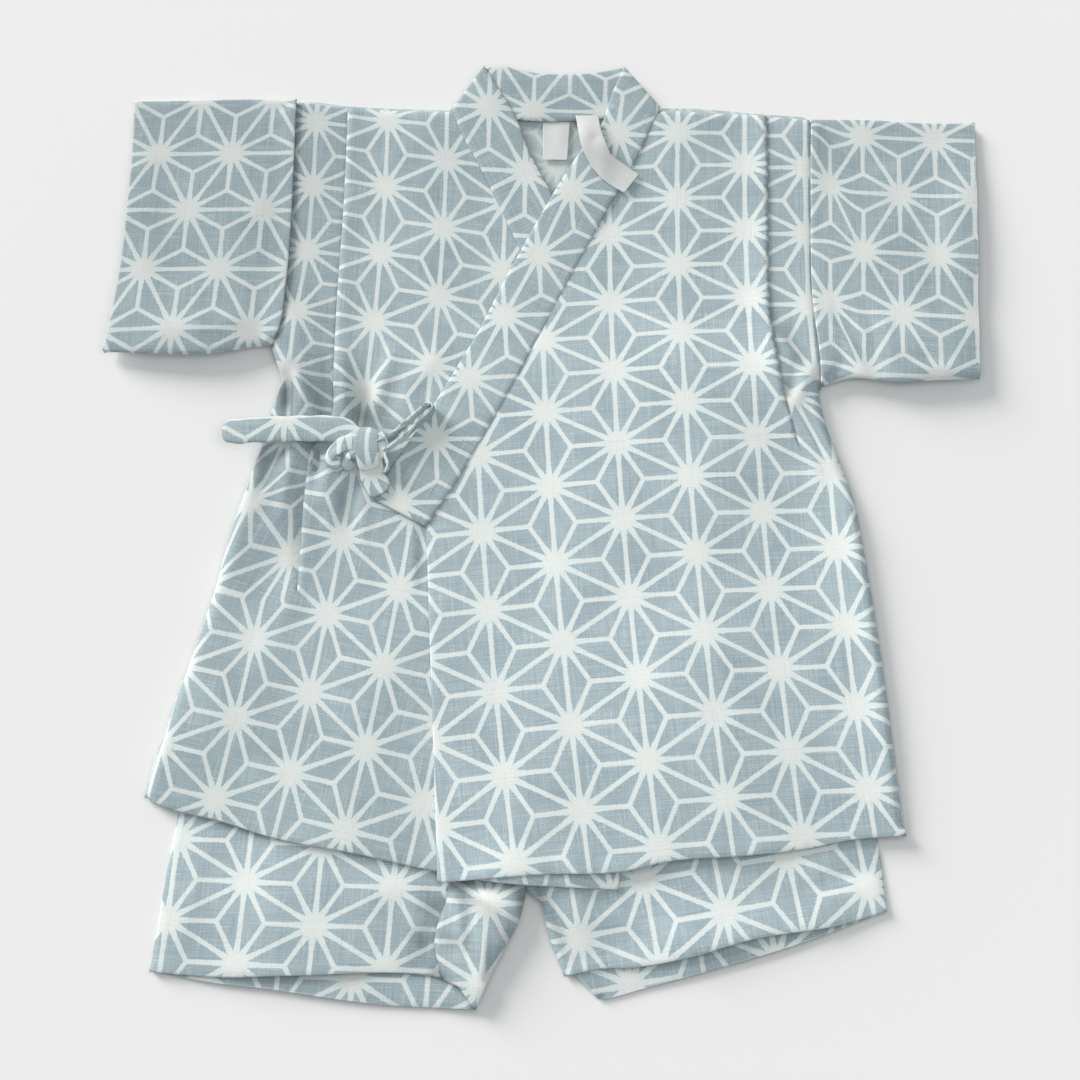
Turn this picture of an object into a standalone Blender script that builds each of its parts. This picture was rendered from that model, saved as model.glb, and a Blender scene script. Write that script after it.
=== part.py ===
"""A jinbei set for a small child, laid flat: a crossed-over jacket on top of its shorts.

Each piece that is cut and sewn is one sheet of cloth with a wall, cut to its pattern outline and laid on
the pieces below it. The wearer's right is -X, the neck is at +Y and the set rests on z = 0.
Lengths are in millimetres here, and become metres when a mesh is made.
"""

import math

import bmesh
import bpy
from mathutils import Vector

MM = 0.001

# Driving sizes
WALL = 1.0                 # one layer of cloth
COLLAR_WALL = 1.6          # the collar is a folded band
TIE_WALL = 2.2             # the ties are sewn tubes, pressed flat
LABEL_WALL = 1.0
REST_GAP = 0.4             # between a piece and the piece that it lies on
SEAM_GAP = 0.3             # between the edges of pieces that are sewn together
CELL = 15.0                # side of the squares that the large sheets are faceted in
FINE_CELL = CELL / 5       # the same for ties and labels
HOLD = 1.42 * CELL         # a sheet stays up this far past the edge of what is under it
RAMP = 20.0                # and comes down over this distance
TUCK_DEPTH = 15.0          # the shoulder tucks take up this much cloth
TUCK_RISE = 1.9
SLEEVE_EDGE = 1.4          # solid cloth along a sleeve's top fold and its underarm seam

# Pattern edges, as (x, y) from the wearer's right to left and from the neck down
SHOULDER_RIGHT = ((-129, 239), (-102, 235), (-74, 233), (-47, 232))
SHOULDER_LEFT = ((63, 232), (119, 228), (141, 226))
NECK_SEAM = ((-47, 232), (-15, 226), (30, 226), (63, 232))
NECK_TOP = ((-30, 257), (-23, 258), (-3, 253), (26, 252.5), (44, 256))
ARMHOLE_RIGHT = ((-129, 239), (-129, 135), (-131, 108), (-135, 99.5))
ARMHOLE_LEFT = ((141, 226), (138.5, 178), (136.5, 123), (138, 91), (138, 77))
SIDE_RIGHT = (
    (-129, 82), (-135, 62), (-138, 48), (-148, 14), (-157, -25), (-168, -64), (-179, -103), (-183, -121)
)
SIDE_LEFT = ((138, 70), (145, 43), (152, 18), (155, -6), (158, -35), (161, -66), (163, -97), (166, -137))
HEM_UNDER = (
    (-183, -121), (-170, -126), (-148, -131), (-120, -139), (-86, -145), (-53, -152), (-23, -157), (36, -161)
)
HEM_OVER = ((-46, -158), (0, -154), (36, -153), (60, -148), (90, -146), (120, -143), (141, -139), (166, -137))
HEM_BACK = ((-183, -121), (-120, -134), (-50, -146), (10, -151), (90, -143), (166, -137))
SEAM_UNDER = ((-47, 232), (-41, 216), (-34, 203), (-26, 186), (-10, 151), (18, 89), (45, 20))
FREE_UNDER = ((-30, 257), (-20, 239), (-12, 225), (-7, 210), (6, 183), (44, 95), (71, 31))
EDGE_UNDER = ((45, 20), (40, -80), (36, -161))
SEAM_OVER = ((63, 232), (52, 207), (30, 165), (4, 114), (-16, 75), (-34, 40), (-55, 6))
FREE_OVER = ((44, 256), (37, 239), (31, 221), (19, 204), (-14, 144), (-36, 98), (-57, 62), (-70, 40), (-83, 21))
EDGE_OVER = ((-55, 6), (-56, -29), (-52, -76), (-49, -122), (-46, -158))
SLEEVE_TOP_RIGHT = ((-129, 239), (-159, 241), (-191, 240), (-216, 240))
CUFF_RIGHT = ((-216, 240), (-214, 180), (-216, 125), (-220, 97))
UNDERARM_RIGHT = ((-220, 97), (-196, 95), (-162, 95), (-143, 99), (-135, 99.5))
SLEEVE_TOP_LEFT = ((141, 226), (177, 225), (202, 223), (226, 222))
CUFF_LEFT = ((226, 222), (223, 177), (219, 122), (216, 80))
UNDERARM_LEFT = ((216, 80), (192, 79), (177, 78), (153, 81), (138, 77))
WAIST_RIGHT = ((-112, 66), (-60, 70), (-8, 70))
WAIST_LEFT = ((-8, 70), (45, 69), (98, 64))
CROTCH_SEAM = ((-8, 70), (-7, -60), (-6, -161))
OUTER_RIGHT = ((-112, 66), (-138, 0), (-155, -70), (-167, -129), (-171, -157), (-175, -197))
OUTER_LEFT = ((98, 64), (124, 0), (143, -70), (154, -138), (156, -170))
INNER_RIGHT = ((-6, -161), (-9, -174), (-13, -182), (-19, -193), (-28, -212))
INNER_LEFT = ((-6, -161), (1, -166), (4, -180), (7, -188), (11, -198))
LEG_HEM_FRONT_RIGHT = ((-175, -197), (-143, -199), (-113, -198), (-44, -199), (-36, -202), (-28, -212))
LEG_HEM_BACK_RIGHT = ((-175, -197), (-143, -202), (-122, -204), (-84, -209), (-64, -211), (-28, -212))
LEG_HEM_FRONT_LEFT = ((11, -198), (26, -195), (44, -194), (65, -190), (94, -182), (133, -176), (156, -170))
LEG_HEM_BACK_LEFT = (
    (11, -198), (17, -198.5), (26, -207.5), (30, -207.5), (44, -204), (78, -194.5), (116, -184), (156, -170)
)

# Colours and roughness
CLOTH_BLUE = (0.40, 0.50, 0.54)
TIE_BLUE = (0.46, 0.55, 0.58)
LABEL_WHITE = (0.85, 0.85, 0.82)
CLOTH_ROUGHNESS = 0.9


def chain(*edges):
    """One closed outline from edges given in order; an edge is turned round where that joins it to the last."""
    points = list(edges[0])
    for edge in edges[1:]:
        step = list(edge)
        if math.dist(points[-1], step[-1]) < math.dist(points[-1], step[0]):
            step.reverse()
        points += [point for point in step if math.dist(point, points[-1]) > 0.5]
    if math.dist(points[0], points[-1]) < 0.5:
        points.pop()
    return points


PATTERN = {
    "shorts_back_right": chain(WAIST_RIGHT, CROTCH_SEAM, INNER_RIGHT, LEG_HEM_BACK_RIGHT, OUTER_RIGHT),
    "shorts_back_left": chain(WAIST_LEFT, OUTER_LEFT, LEG_HEM_BACK_LEFT, INNER_LEFT, CROTCH_SEAM),
    "shorts_front_right": chain(WAIST_RIGHT, CROTCH_SEAM, INNER_RIGHT, LEG_HEM_FRONT_RIGHT, OUTER_RIGHT),
    "shorts_front_left": chain(WAIST_LEFT, OUTER_LEFT, LEG_HEM_FRONT_LEFT, INNER_LEFT, CROTCH_SEAM),
    "jacket_back": chain(
        SHOULDER_RIGHT, NECK_SEAM, SHOULDER_LEFT, ARMHOLE_LEFT, SIDE_LEFT, HEM_BACK, SIDE_RIGHT, ARMHOLE_RIGHT
    ),
    "front_right": chain(SHOULDER_RIGHT, SEAM_UNDER, EDGE_UNDER, HEM_UNDER, SIDE_RIGHT, ARMHOLE_RIGHT),
    "front_left": chain(SHOULDER_LEFT, ARMHOLE_LEFT, SIDE_LEFT, HEM_OVER, EDGE_OVER, SEAM_OVER),
    "sleeve_right": chain(SLEEVE_TOP_RIGHT, CUFF_RIGHT, UNDERARM_RIGHT, ARMHOLE_RIGHT),
    "sleeve_left": chain(SLEEVE_TOP_LEFT, CUFF_LEFT, UNDERARM_LEFT, ARMHOLE_LEFT),
    "collar_neck": chain(NECK_TOP, ((44, 256), (63, 232)), NECK_SEAM),
    "collar_right": chain(SEAM_UNDER, FREE_UNDER),
    "collar_left": chain(SEAM_OVER, FREE_OVER),
    "tie_tail": (
        (-96, 62), (-119, 61.5), (-146, 60.5), (-154, 57), (-155, 51), (-148, 47.5), (-119, 48.5), (-96, 48.5)
    ),
    "tie_loop": ((-75, 55), (-67, 60), (-57, 70), (-52, 68), (-54, 62), (-64, 50), (-75, 45)),
    "tie_end": ((-84, 37), (-75, 37), (-74, 30), (-77, 22), (-84, 24), (-88, 31)),
    "label_size": ((1, 225.4), (15.5, 225.4), (14, 203), (1, 203)),
    "label_care": ((18, 225.4), (30, 225.4), (32, 214), (36, 203), (51, 193), (43, 182), (31, 190), (22, 204)),
}

# How the pieces lie on each other: (rank from the bottom up, wall, piece)
LAYERS = (
    (0, WALL, "shorts_back_right"),
    (0, WALL, "shorts_back_left"),
    (1, WALL, "shorts_front_right"),
    (1, WALL, "shorts_front_left"),
    (2, WALL, "jacket_back"),
    (3, COLLAR_WALL, "collar_neck"),
    (3, LABEL_WALL, "label_size"),
    (4, WALL, "front_right"),
    (4, COLLAR_WALL, "collar_right"),
    (5, WALL, "front_left"),
    (5, COLLAR_WALL, "collar_left"),
    (6, TIE_WALL, "tie_tail"),
    (6, TIE_WALL, "tie_loop"),
    (6, TIE_WALL, "tie_end"),
    (6, LABEL_WALL, "label_care"),
)
SLEEVE_RANK = 4
TIE_RANK = 6
FINE_PIECES = ("tie_tail", "tie_loop", "tie_end", "label_size", "label_care")

# The air and the folds under a piece, each a soft ridge that lifts it and all above it:
# (rank, start x, start y, end x, end y, half width, height)
RIDGES = (
    (1, -95, -70, -100, -182, 62, 2.4),      # right leg, between its front and back
    (1, 80, -70, 88, -168, 58, 2.4),         # left leg
    (1, -33, -200, -12, -160, 13, 2.6),      # cloth pushed up beside the crotch
    (4, -128, 60, -150, -105, 30, 1.5),      # fullness of the right front at its side
    (4, -92, 44, -118, 92, 13, 2.6),         # folds that the knot pulls in, above it
    (4, -98, 42, -112, -30, 13, 2.4),        # and below it
    (4, -106, 44, -134, 4, 12, 1.8),
    (4, -76, 150, -76, 205, 34, 1.2),        # right chest
    (5, 80, 190, 84, 60, 46, 1.6),           # left chest
    (5, 58, 10, 50, -120, 80, 1.4),          # fullness of the left front
    (5, 150, 20, 158, -110, 16, 1.6),        # its side, where the cloth turns over
    (5, 122, 92, 138, 34, 13, 2.0),          # the end of the left tuck
    (3, -20, 252, 34, 252, 24, 3.0),         # the neck of the collar stands up a little
)
# The air in the sleeves: (piece, start x, start y, end x, end y, half width, height)
SLEEVE_AIR = (
    ("sleeve_right", -150, 168, -214, 168, 68, 3.0),
    ("sleeve_left", 156, 151, 220, 151, 68, 3.0),
)
# Shoulder tucks: (piece, side that the tuck's cloth is on, ((x, y) down the fold's edge))
TUCKS = (
    ("front_right", 1, ((-102, 231), (-102, 180), (-101, 124), (-102, 84), (-103, 68))),
    ("front_left", -1, ((118.5, 224), (117, 178), (116, 123), (118.5, 98), (121, 86))),
)
KNOT = (-85.5, 47.5)
KNOT_RADII = (9.6, 10.2, 3.6)


def smooth_step(value):
    value = min(max(value, 0.0), 1.0)
    return value * value * (3 - 2 * value)


def distance_to_edge(x, y, start, end):
    """The distance from (x, y) to a straight edge, and how far along the edge the nearest point is, 0 to 1."""
    along_x = end[0] - start[0]
    along_y = end[1] - start[1]
    share = ((x - start[0]) * along_x + (y - start[1]) * along_y) / (along_x ** 2 + along_y ** 2)
    share = min(max(share, 0.0), 1.0)
    return math.hypot(x - start[0] - share * along_x, y - start[1] - share * along_y), share


def distance_outside(x, y, outline):
    """0 inside the outline, and the distance to it outside."""
    inside = False
    nearest = math.inf
    for index, end in enumerate(outline):
        start = outline[index - 1]
        nearest = min(nearest, distance_to_edge(x, y, start, end)[0])
        if (start[1] > y) != (end[1] > y):
            crossing = start[0] + (y - start[1]) * (end[0] - start[0]) / (end[1] - start[1])
            inside = inside != (x < crossing)
    return 0.0 if inside else nearest


def trimmed(outline, amount):
    """The outline moved inwards by amount, with its corners kept sharp."""
    area = sum(a[0] * b[1] - b[0] * a[1] for a, b in zip(outline, outline[1:] + outline[:1]))
    turn = 1 if area > 0 else -1
    result = []
    for index, point in enumerate(outline):
        before = Vector(point) - Vector(outline[index - 1])
        after = Vector(outline[(index + 1) % len(outline)]) - Vector(point)
        normal_before = Vector((-before.y, before.x)).normalized() * turn
        normal_after = Vector((-after.y, after.x)).normalized() * turn
        middle = (normal_before + normal_after).normalized()
        reach = amount / max(middle.dot(normal_after), 0.35)
        result.append((point[0] + middle.x * reach, point[1] + middle.y * reach))
    return result


def ridge(x, y, row):
    """How much one row of a ridge table lifts the cloth at (x, y)."""
    start_x, start_y, end_x, end_y, half_width, height = row
    distance, _ = distance_to_edge(x, y, (start_x, start_y), (end_x, end_y))
    return height * (1 - smooth_step(distance / half_width))


def node_height(column, row, rank):
    """The underside of a piece of this rank at one corner of the squares."""
    x = column * CELL
    y = row * CELL
    key = (column, row, rank)
    if key not in KNOWN_HEIGHTS:
        lift = {}
        for below, wall, name in LAYERS:
            if below < rank:
                past = distance_outside(x, y, PATTERN[name]) - HOLD
                cover = (wall + REST_GAP) * (1 - smooth_step(past / RAMP))
                lift[below] = max(lift.get(below, 0.0), cover)
        folds = sum(ridge(x, y, row[1:]) for row in RIDGES if row[0] <= rank)
        KNOWN_HEIGHTS[key] = sum(lift.values()) + folds
    return KNOWN_HEIGHTS[key]


KNOWN_HEIGHTS = {}


def underside(x, y, rank):
    """The underside of a piece of this rank at any point, flat across each half square."""
    column = math.floor(x / CELL + 1e-6)
    row = math.floor(y / CELL + 1e-6)
    across = x / CELL - column
    up = y / CELL - row
    low = node_height(column, row, rank)
    high = node_height(column + 1, row + 1, rank)
    if across >= up:
        side = node_height(column + 1, row, rank)
        return low + across * (side - low) + up * (high - side)
    side = node_height(column, row + 1, rank)
    return low + up * (side - low) + across * (high - side)


def new_object(name, shape):
    """A bmesh in millimetres becomes an object in metres."""
    bmesh.ops.scale(shape, vec=(MM, MM, MM), verts=shape.verts)
    bmesh.ops.translate(shape, vec=(-CENTRE[0] * MM, -CENTRE[1] * MM, 0), verts=shape.verts)
    bmesh.ops.recalc_face_normals(shape, faces=shape.faces)
    mesh = bpy.data.meshes.new(name)
    shape.to_mesh(mesh)
    shape.free()
    result = bpy.data.objects.new(name, mesh)
    bpy.context.scene.collection.objects.link(result)
    return result


def slab(outline, low, high, cell):
    """A closed sheet over all the squares that the outline meets, from the height low(x, y) to high(x, y)."""
    shape = bmesh.new()
    xs = [point[0] for point in outline]
    ys = [point[1] for point in outline]
    corners = {}
    for column in range(math.floor(min(xs) / cell) - 1, math.ceil(max(xs) / cell) + 2):
        for row in range(math.floor(min(ys) / cell) - 1, math.ceil(max(ys) / cell) + 2):
            x = column * cell
            y = row * cell
            if distance_outside(x, y, outline) < 1.5 * cell:
                lower = shape.verts.new((x, y, low(x, y)))
                upper = shape.verts.new((x, y, high(x, y)))
                corners[column, row] = (lower, upper)
    for (column, row), corner in corners.items():
        square = [corners.get((column + i, row + j)) for i, j in ((1, 0), (1, 1), (0, 1))]
        if all(square):
            right, far, left = square
            for a, b, c in ((corner, right, far), (corner, far, left)):
                shape.faces.new((a[1], b[1], c[1]))
                shape.faces.new((c[0], b[0], a[0]))
    lower_corner = {upper: lower for lower, upper in corners.values()}
    rim = [
        edge for edge in shape.edges if edge.is_boundary and all(vert in lower_corner for vert in edge.verts)
    ]
    for edge in rim:
        start, end = edge.verts
        shape.faces.new((start, end, lower_corner[end], lower_corner[start]))
    loose = [vert for vert in shape.verts if not vert.link_faces]
    bmesh.ops.delete(shape, geom=loose, context="VERTS")
    return new_object("slab", shape)


def prism(outline):
    """A tall block with the outline's plan, to cut a sheet with."""
    shape = bmesh.new()
    floor = shape.faces.new([shape.verts.new((x, y, -10)) for x, y in outline])
    side = bmesh.ops.extrude_face_region(shape, geom=[floor])["geom"]
    corners = [item for item in side if isinstance(item, bmesh.types.BMVert)]
    bmesh.ops.translate(shape, vec=(0, 0, 60), verts=corners)
    return new_object("prism", shape)


def combine(base, tool, operation):
    """Cuts or joins base with tool, which is used up."""
    modifier = base.modifiers.new("combine", "BOOLEAN")
    modifier.operation = operation
    modifier.object = tool
    bpy.context.view_layer.objects.active = base
    bpy.ops.object.modifier_apply(modifier=modifier.name)
    bpy.data.objects.remove(tool)
    return base


def cut_sheet(outline, low, high, cell):
    return combine(slab(outline, low, high, cell), prism(outline), "INTERSECT")


def finish(piece, name, colour):
    """Names a piece and gives it its own matt material."""
    piece.name = name
    piece.data.name = name
    material = bpy.data.materials.new(name)
    material.use_nodes = True
    shader = material.node_tree.nodes["Principled BSDF"]
    shader.inputs["Base Color"].default_value = (*colour, 1)
    shader.inputs["Roughness"].default_value = CLOTH_ROUGHNESS
    shader.inputs["Metallic"].default_value = 0
    piece.data.materials.clear()
    piece.data.materials.append(material)


def laid_piece(rank, wall, name):
    """One sheet, trimmed for its seams and laid on what is under it."""
    outline = trimmed(PATTERN[name], SEAM_GAP / 2)
    cell = FINE_CELL if name in FINE_PIECES else CELL

    def low(x, y):
        return underside(x, y, rank)

    def high(x, y):
        return underside(x, y, rank) + wall

    return cut_sheet(outline, low, high, cell)


def add_tuck(piece, rank, side, fold_edge):
    """The doubled cloth of a shoulder tuck: a wedge that stands up at the fold and runs out inside it."""
    shape = bmesh.new()
    rows = []
    for index, (x, y) in enumerate(fold_edge):
        inner = x + side * TUCK_DEPTH
        last = index == len(fold_edge) - 1
        at_fold = underside(x, y, rank)
        at_inner = underside(inner, y, rank)
        top = at_fold + WALL + (0.1 if last else TUCK_RISE)
        rows.append([shape.verts.new(point) for point in (
            (x, y, at_fold + WALL / 2), (x, y, top), (inner, y, at_inner + WALL / 2)
        )])
    for upper, lower in zip(rows, rows[1:]):
        for index in range(3):
            shape.faces.new((upper[index], upper[index - 1], lower[index - 1], lower[index]))
    shape.faces.new(rows[0])
    shape.faces.new(list(reversed(rows[-1])))
    bmesh.ops.triangulate(shape, faces=shape.faces)
    return combine(piece, new_object("tuck", shape), "UNION")


def sleeve(name):
    """A sleeve pressed flat: a tube with a fold along its top, a seam under the arm, and both its ends open."""
    outline = trimmed(PATTERN[name], SEAM_GAP / 2)
    air = [row[1:] for row in SLEEVE_AIR if row[0] == name]

    def inner_top(x, y):
        return WALL + REST_GAP + sum(ridge(x, y, row) for row in air)

    tube = cut_sheet(outline, lambda x, y: 0.0, lambda x, y: inner_top(x, y) + WALL, CELL)
    middle_x = sum(point[0] for point in outline) / len(outline)
    top = max(point[1] for point in outline)
    opening = []
    for x, y in outline:
        away = 8 if x > middle_x else -8
        near_end = distance_to_edge(x, y, (middle_x, -300), (middle_x, 300))[0] > 36
        shift = -SLEEVE_EDGE if y > top - 20 else SLEEVE_EDGE if y < top - 120 else 0
        opening.append((x + (away if near_end else 0), y + shift))
    hollow = slab(opening, lambda x, y: WALL, inner_top, CELL)
    combine(hollow, prism(opening), "INTERSECT")
    return combine(tube, hollow, "DIFFERENCE")


def knot():
    """The knot of the bow: one rounded lump, flattened where it lies on the cloth."""
    shape = bmesh.new()
    bmesh.ops.create_icosphere(shape, subdivisions=2, radius=1)
    radius_x, radius_y, radius_z = KNOT_RADII
    base = max(
        underside(KNOT[0] + i * radius_x, KNOT[1] + j * radius_y, TIE_RANK)
        for i in (-1, 0, 1) for j in (-1, 0, 1)
    )
    for vert in shape.verts:
        wrap = 1 + 0.08 * math.sin(5 * math.atan2(vert.co.y, vert.co.x))
        vert.co.x = KNOT[0] + radius_x * wrap * vert.co.x
        vert.co.y = KNOT[1] + radius_y * wrap * vert.co.y
        vert.co.z = base + radius_z * (max(vert.co.z, -0.55) + 0.55)
    return new_object("knot", shape)


def centre_of_pattern():
    """The middle of all the outlines, which becomes the origin."""
    xs = [point[0] for outline in PATTERN.values() for point in outline]
    ys = [point[1] for outline in PATTERN.values() for point in outline]
    return (min(xs) + max(xs)) / 2, (min(ys) + max(ys)) / 2


CENTRE = centre_of_pattern()


def main():
    for old in list(bpy.data.objects):
        bpy.data.objects.remove(old)
    for rank, wall, name in LAYERS:
        piece = laid_piece(rank, wall, name)
        for tucked, side, fold_edge in TUCKS:
            if tucked == name:
                piece = add_tuck(piece, rank, side, fold_edge)
        colour = CLOTH_BLUE
        if name.startswith("label"):
            colour = LABEL_WHITE
        if name.startswith("tie"):
            colour = TIE_BLUE
        finish(piece, name, colour)
    for name in ("sleeve_right", "sleeve_left"):
        finish(sleeve(name), name, CLOTH_BLUE)
    finish(knot(), "tie_knot", TIE_BLUE)


main()
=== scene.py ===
"""The looks of a small child's jinbei set, laid flat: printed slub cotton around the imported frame.

Plans and heights are worked in millimetres, in the frame's own axes, and become metres in make_piece.
The wearer's right is -X and the neck is at +Y.
"""
import math

import bmesh
import bpy
import numpy as np
from mathutils import Matrix, Vector, geometry
from mathutils.bvhtree import BVHTree


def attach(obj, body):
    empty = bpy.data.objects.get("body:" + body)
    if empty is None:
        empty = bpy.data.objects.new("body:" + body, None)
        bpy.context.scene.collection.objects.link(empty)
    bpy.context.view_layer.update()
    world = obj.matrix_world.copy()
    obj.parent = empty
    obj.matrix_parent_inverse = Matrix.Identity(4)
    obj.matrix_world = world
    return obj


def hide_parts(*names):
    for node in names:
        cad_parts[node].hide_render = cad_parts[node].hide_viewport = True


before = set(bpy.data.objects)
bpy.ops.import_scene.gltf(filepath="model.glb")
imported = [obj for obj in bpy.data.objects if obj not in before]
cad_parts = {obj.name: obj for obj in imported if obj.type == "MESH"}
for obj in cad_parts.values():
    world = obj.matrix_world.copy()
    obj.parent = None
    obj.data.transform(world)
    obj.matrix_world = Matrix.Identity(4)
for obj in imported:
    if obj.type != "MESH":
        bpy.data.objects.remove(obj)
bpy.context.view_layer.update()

MM = 0.001
CLOTH = 0.5                 # one layer of the real cloth, with its nap
BAND = 1.5                  # the collar, a band folded double
MESH_STEP = 2.4             # between the points of a sheet that shows
COARSE_STEP = 4.5           # and of one that is nearly all covered
EDGE_RINGS = (0.35, 0.9)    # extra rows of points inside every edge, for its roll
SLEEVE_PAINTED_SHADE = 0.95          # painted shade: the sleeves' colour is made a little darker, for the weaker light that falls on them
SEAM_ALLOWANCE = 1.8        # how far a panel shows on under the piece it is sewn to
STAR_STEP = 38.0            # between the stars of the hemp-leaf print
COLUMN_STEP = STAR_STEP * math.sqrt(3) / 2
CORNER_TURN = 26            # degrees of turn past which an outline keeps its corner
HEM_SPREAD = 38             # degrees either side of a direction within which an edge faces it
LAYER_AIR = 0.15            # between a piece and what it lies on
EDGE_REACH = 1.8            # how far in from a panel's edge the cloth begins to turn down
EDGE_DROP = 0.6
SEAM_REACH = 5.0            # the same where a panel is sewn to the piece below it
SEAM_LOW = 1.1
FOLD_SPREAD = 8.0           # how far a fold holds up the cloth beside it
TUCKED_IN = 5.0             # how far the strip beside a fold runs on under it
FAR_FROM_HEM = 99.0


# ---------------------------------------------------------------- plans taken from the frame

def floor_faces(node, top=None):
    """The triangles on the underside of a CAD node, as lists of corners in millimetres."""
    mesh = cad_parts[node].data
    corners = []
    for face in mesh.polygons:
        if face.normal.z < -0.3 and (top is None or face.center.z < top * MM):
            corners.append([mesh.vertices[i].co / MM for i in face.vertices])
    return corners


def plan_of(node, top=None):
    """The outline of a node's underside, anticlockwise, without the points along its straight runs."""
    directed = {}
    for corners in floor_faces(node, top):
        keys = [tuple(point) for point in corners]
        for start, end in zip(keys, keys[1:] + keys[:1]):
            if start != end:
                if (end, start) in directed:
                    del directed[end, start]
                else:
                    directed[start, end] = True
    after = {end: start for start, end in directed}
    first = min(after)
    loop = [first]
    while after[loop[-1]] != first:
        loop.append(after[loop[-1]])
    points = np.array(loop)[:, :2]
    keep = []
    for index, point in enumerate(points):
        before = points[keep[-1]] if keep else points[index - 1]
        chord = points[(index + 1) % len(points)] - before
        reach = point - before
        off = abs(chord[0] * reach[1] - chord[1] * reach[0]) / max(np.hypot(*chord), 1e-6)
        if off > 0.12:
            keep.append(index)
    return points[keep]


def curve_shares(t):
    """The shares, in a smooth curve between two points, of the start, the end, and the directions there."""
    return 2 * t ** 3 - 3 * t ** 2 + 1, 3 * t ** 2 - 2 * t ** 3, t ** 3 - 2 * t ** 2 + t, t ** 3 - t ** 2


def rounded_open(points, count_of):
    """A smooth open line through a few points; count_of gives the number of parts between two of them."""
    line = []
    for index in range(len(points) - 1):
        start, end = points[index], points[index + 1]
        before = points[max(index - 1, 0)]
        after = points[min(index + 2, len(points) - 1)]
        leave = (end - before) / 2
        arrive = (after - start) / 2
        count = count_of(start, end)
        for t in np.arange(count) / count:
            of_start, of_end, of_leave, of_arrive = curve_shares(t)
            line.append(start * of_start + end * of_end + leave * of_leave + arrive * of_arrive)
    return np.array(line + [points[-1]])


def parts_of(step):
    """Parts of about one length, and at least two."""
    return lambda start, end: max(2, round(np.hypot(*(end - start)) / step))


def rounded_plan(points, step):
    """A smooth closed line through an outline's points, sharp only where it turns by more than
    CORNER_TURN."""
    count = len(points)
    ahead = np.roll(points, -1, 0) - points
    behind = points - np.roll(points, 1, 0)
    turn = np.degrees(np.abs(np.arctan2(
        behind[:, 0] * ahead[:, 1] - behind[:, 1] * ahead[:, 0], (behind * ahead).sum(1))))
    tangent = ahead / np.hypot(*ahead.T)[:, None] + behind / np.hypot(*behind.T)[:, None]
    tangent /= np.maximum(np.hypot(*tangent.T), 1e-6)[:, None]
    sharp = turn > CORNER_TURN
    line = []
    for index in range(count):
        start = points[index]
        end = points[(index + 1) % count]
        length = np.hypot(*(end - start))
        chord = (end - start) / length
        leave = chord if sharp[index] else tangent[index]
        arrive = chord if sharp[(index + 1) % count] else tangent[(index + 1) % count]
        pieces = max(1, round(length / step))
        for t in np.arange(pieces) / pieces:
            of_start, of_end, of_leave, of_arrive = curve_shares(t)
            line.append(
                start * of_start + end * of_end + length * (leave * of_leave + arrive * of_arrive))
    return np.array(line)


def edge_distance(points, line):
    """For each point: its distance to a closed line, and the number of the line's part that is nearest."""
    run = np.roll(line, -1, 0) - line
    length = np.hypot(*run.T)
    nearest = np.full(len(points), 1e9)
    part = np.zeros(len(points), int)
    at_once = 4000
    for low in range(0, len(points), at_once):
        chunk = points[low:low + at_once]
        offset = chunk[:, None] - line[None]
        share = np.clip((offset * run[None]).sum(2) / (length ** 2)[None], 0, 1)
        gap = np.hypot(*np.moveaxis(offset - share[..., None] * run[None], 2, 0))
        best = gap.argmin(1)
        nearest[low:low + at_once] = gap[np.arange(len(chunk)), best]
        part[low:low + at_once] = best
    return nearest, part


def is_inside(points, line):
    """Which points lie inside a closed line."""
    inside = np.zeros(len(points), bool)
    for start, end in zip(line, np.roll(line, -1, 0)):
        if start[1] != end[1]:
            spans = (start[1] > points[:, 1]) != (end[1] > points[:, 1])
            crossing = start[0] + (points[:, 1] - start[1]) * (end[0] - start[0]) / (end[1] - start[1])
            inside ^= spans & (points[:, 0] < crossing)
    return inside


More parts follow.
